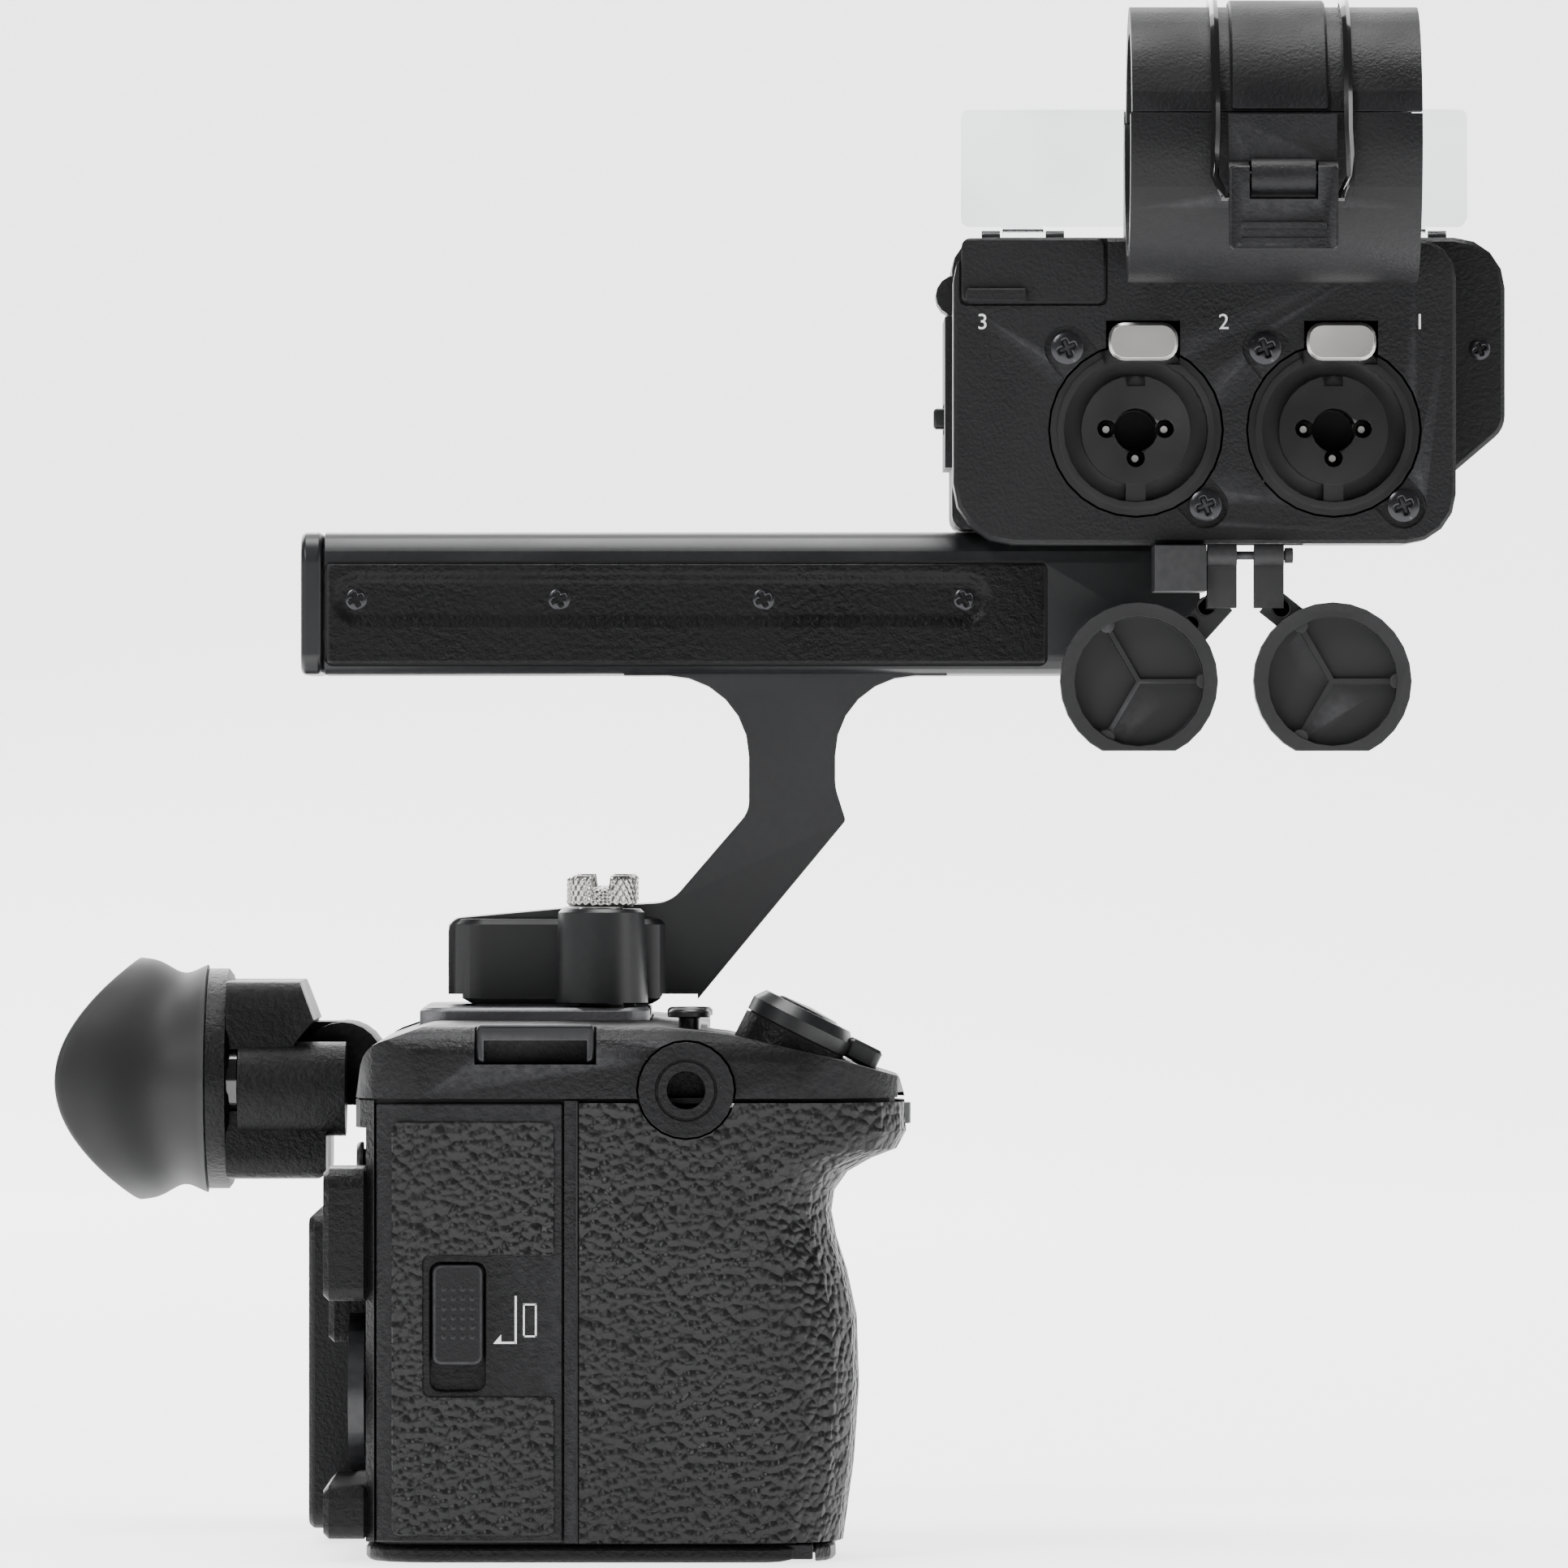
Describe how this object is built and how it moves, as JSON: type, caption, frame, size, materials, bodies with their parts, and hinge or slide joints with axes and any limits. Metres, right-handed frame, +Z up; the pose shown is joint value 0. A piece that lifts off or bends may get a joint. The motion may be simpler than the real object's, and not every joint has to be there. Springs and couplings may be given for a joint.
{
  "type": "cinema camera rig",
  "caption": "Cinema camera body with tilting viewfinder, swing-out monitor and an audio top handle with two combo jacks and a microphone holder.",
  "frame": {"origin": "on the flat base, below the lens axis at the image sensor's plane", "axes": "+X is the lens direction, +Y the camera's left, +Z up"},
  "size_m": [0.2069, 0.1304, 0.218],
  "materials": {
    "painted_alloy": "wrinkle-textured matt black",
    "handle_paint": "smooth satin black",
    "leatherette": "pebbled leather grain",
    "black_plastic": "fine-grained matt black",
    "gloss_black": "glossy black",
    "soft_rubber": "matt rubber",
    "grey_metal": "grit-blasted grey",
    "nickel": "bright nickel plate",
    "steel": "machined steel",
    "board": "solder-masked board",
    "sensor": "coated silicon under glass",
    "dark_glass": "dark coated glass",
    "clear_acrylic": "clear polished acrylic"
  },
  "bodies": {
    "camera": {"base_plate": "painted_alloy", "tripod_socket": "steel", "body_shell": "painted_alloy", "top_cover": "painted_alloy", "grip_cover": "leatherette", "thread_boss": "painted_alloy", "strap_lug_right": "black_plastic", "strap_lug_left": "black_plastic", "accessory_shoe": "grey_metal", "lens_mount_ring": "steel", "sensor_frame": "black_plastic", "image_sensor": "sensor", "main_board": "board", "battery": "black_plastic", "evf_base": "painted_alloy", "handle_shell": "handle_paint", "handle_panel": "handle_paint", "handle_end_cap": "handle_paint", "audio_case": "black_plastic", "jack_plate": "black_plastic", "audio_jack_1": "gloss_black", "audio_jack_2": "gloss_black", "cap_hinge": "black_plastic", "control_panel": "black_plastic", "mic_holder_base": "black_plastic"},
    "card_door": {"card_door": "leatherette"},
    "card_latch": {"card_door_latch": "black_plastic"},
    "battery_door": {"battery_door": "black_plastic"},
    "battery_latch": {"battery_latch": "black_plastic"},
    "lens_release": {"lens_release_button": "steel"},
    "front_dial": {"front_dial": "black_plastic"},
    "control_wheel": {"control_wheel": "black_plastic"},
    "rear_button": {"rear_button": "black_plastic"},
    "zoom_lever": {"zoom_lever": "black_plastic"},
    "shutter_button": {"shutter_button": "steel"},
    "port_cover_front": {"port_cover_front": "soft_rubber"},
    "port_cover_rear": {"port_cover_rear": "soft_rubber"},
    "record_button": {"record_button": "black_plastic"},
    "top_button": {"top_button": "black_plastic"},
    "monitor": {"monitor_arm": "black_plastic", "monitor_case": "black_plastic", "monitor_screen": "dark_glass"},
    "viewfinder": {"evf_housing": "painted_alloy", "eyecup": "soft_rubber", "ocular_lens": "dark_glass"},
    "diopter_dial": {"diopter_dial": "gloss_black"},
    "thumbscrew_right": {"thumbscrew_right": "nickel"},
    "thumbscrew_left": {"thumbscrew_left": "nickel"},
    "audio_switch": {"audio_switch": "black_plastic"},
    "push_tab_1": {"push_tab_1": "nickel"},
    "push_tab_2": {"push_tab_2": "nickel"},
    "jack_cap_1": {"xlr_cap_1": "soft_rubber"},
    "jack_cap_2": {"xlr_cap_2": "soft_rubber"},
    "audio_dial_1": {"audio_dial_1": "black_plastic"},
    "audio_dial_2": {"audio_dial_2": "black_plastic"},
    "input_flap": {"input_flap": "soft_rubber"},
    "clear_cover": {"clear_cover": "clear_acrylic"},
    "mic_clamp": {"mic_holder_clamp": "black_plastic"},
    "latch_lever": {"latch_lever": "black_plastic"},
    "wire_bail": {"wire_bail": "gloss_black"}
  },
  "joints": [
    {"name": "monitor_swing", "type": "hinge", "parent": "camera", "child": "monitor", "pos_m": [-0.0387, 0.05, 0.028], "axis": [0, 0, -1], "range_deg": [0, 176]},
    {"name": "viewfinder_tilt", "type": "hinge", "parent": "camera", "child": "viewfinder", "pos_m": [-0.0392, 0.03, 0.067], "axis": [0, 1, 0], "range_deg": [0, 90]},
    {"name": "diopter_turn", "type": "hinge", "parent": "viewfinder", "child": "diopter_dial", "pos_m": [-0.055, 0.015, 0.0648], "axis": [1, 0, 0], "range_deg": [-90, 90]},
    {"name": "front_dial_turn", "type": "hinge", "parent": "camera", "child": "front_dial", "pos_m": [0.033, -0.06, 0.062], "axis": [0, 0, 1], "continuous": true},
    {"name": "control_wheel_turn", "type": "hinge", "parent": "camera", "child": "control_wheel", "pos_m": [-0.034, -0.06, 0.0231], "axis": [1, 0, 0], "continuous": true},
    {"name": "zoom_swing", "type": "hinge", "parent": "camera", "child": "zoom_lever", "pos_m": [0.026, -0.06, 0.0716], "axis": [0.4478, 0, 0.8942], "range_deg": [-20, 20], "stiffness_Nm_per_rad": 0.05},
    {"name": "shutter_press", "type": "slide", "parent": "camera", "child": "shutter_button", "axis": [-0.4478, 0, -0.8942], "range_m": [0, 0.0008], "stiffness_N_per_m": 300},
    {"name": "record_press", "type": "slide", "parent": "camera", "child": "record_button", "axis": [0, 0, -1], "range_m": [0, 0.0007], "stiffness_N_per_m": 300},
    {"name": "top_button_press", "type": "slide", "parent": "camera", "child": "top_button", "axis": [0, 0, -1], "range_m": [0, 0.0007], "stiffness_N_per_m": 300},
    {"name": "rear_button_press", "type": "slide", "parent": "camera", "child": "rear_button", "axis": [1, 0, 0], "range_m": [0, 0.0005], "stiffness_N_per_m": 300},
    {"name": "lens_release_press", "type": "slide", "parent": "camera", "child": "lens_release", "axis": [-1, 0, 0], "range_m": [0, 0.0015], "stiffness_N_per_m": 300},
    {"name": "card_door_open", "type": "hinge", "parent": "camera", "child": "card_door", "pos_m": [-0.006, -0.0752, 0.033], "axis": [0, 0, 1], "range_deg": [0, 90]},
    {"name": "card_latch_slide", "type": "slide", "parent": "card_door", "child": "card_latch", "axis": [0, 0, -1], "range_m": [0, 0.0033], "stiffness_N_per_m": 60},
    {"name": "battery_door_open", "type": "hinge", "parent": "camera", "child": "battery_door", "pos_m": [0.01, -0.0483, 0.0004], "axis": [1, 0, 0], "range_deg": [0, 95]},
    {"name": "battery_latch_slide", "type": "slide", "parent": "battery_door", "child": "battery_latch", "axis": [1, 0, 0], "range_m": [0, 0.003]},
    {"name": "port_front_open", "type": "hinge", "parent": "camera", "child": "port_cover_front", "pos_m": [0.0099, 0.0543, 0.034], "axis": [0, 0, -1], "range_deg": [0, 100]},
    {"name": "port_rear_open", "type": "hinge", "parent": "camera", "child": "port_cover_rear", "pos_m": [-0.0071, 0.0543, 0.034], "axis": [0, 0, -1], "range_deg": [0, 100]},
    {"name": "thumbscrew_right_turn", "type": "hinge", "parent": "camera", "child": "thumbscrew_right", "pos_m": [-0.0011, -0.02, 0.09], "axis": [0, 0, 1], "continuous": true},
    {"name": "thumbscrew_left_turn", "type": "hinge", "parent": "camera", "child": "thumbscrew_left", "pos_m": [-0.0011, 0.02, 0.09], "axis": [0, 0, 1], "continuous": true},
    {"name": "audio_switch_slide", "type": "slide", "parent": "camera", "child": "audio_switch", "axis": [0, 1, 0], "range_m": [0, 0.004]},
    {"name": "push_tab_1_press", "type": "slide", "parent": "camera", "child": "push_tab_1", "axis": [0, 1, 0], "range_m": [0, 0.001], "stiffness_N_per_m": 300},
    {"name": "push_tab_2_press", "type": "slide", "parent": "camera", "child": "push_tab_2", "axis": [0, 1, 0], "range_m": [0, 0.001], "stiffness_N_per_m": 300},
    {"name": "jack_cap_1_swing", "type": "hinge", "parent": "camera", "child": "jack_cap_1", "pos_m": [0.0874, -0.0362, 0.13965], "axis": [1, 0, 0], "range_deg": [-178, 0]},
    {"name": "jack_cap_2_swing", "type": "hinge", "parent": "camera", "child": "jack_cap_2", "pos_m": [0.093, -0.0362, 0.13965], "axis": [1, 0, 0], "range_deg": [-178, 0]},
    {"name": "audio_dial_1_turn", "type": "hinge", "parent": "camera", "child": "audio_dial_1", "pos_m": [0.08, 0.026, 0.17], "axis": [0, 1, 0], "range_deg": [-150, 150]},
    {"name": "audio_dial_2_turn", "type": "hinge", "parent": "camera", "child": "audio_dial_2", "pos_m": [0.1, 0.026, 0.17], "axis": [0, 1, 0], "range_deg": [-150, 150]},
    {"name": "input_flap_open", "type": "hinge", "parent": "camera", "child": "input_flap", "pos_m": [0.06, -0.0337, 0.1846], "axis": [1, 0, 0], "range_deg": [-120, 0]},
    {"name": "clear_cover_swing", "type": "hinge", "parent": "camera", "child": "clear_cover", "pos_m": [0.087, 0.0284, 0.1866], "axis": [1, 0, 0], "range_deg": [-180, 0]},
    {"name": "latch_lever_swing", "type": "hinge", "parent": "camera", "child": "latch_lever", "pos_m": [0.094, -0.0668, 0.1915], "axis": [1, 0, 0], "range_deg": [-90, 0]},
    {"name": "wire_bail_swing", "type": "hinge", "parent": "latch_lever", "child": "wire_bail", "pos_m": [0.094, -0.0674, 0.1887], "axis": [1, 0, 0], "range_deg": [0, 185]},
    {"name": "mic_clamp_open", "type": "hinge", "parent": "camera", "child": "mic_clamp", "pos_m": [0.093, -0.0242, 0.2007], "axis": [1, 0, 0], "range_deg": [-70, 0]}
  ],
  "couplings": [
    {"joint": "mic_clamp_open", "follows": "latch_lever_swing", "ratio": 0.6},
    {"joint": "wire_bail_swing", "follows": "latch_lever_swing", "ratio": -2}
  ]
}
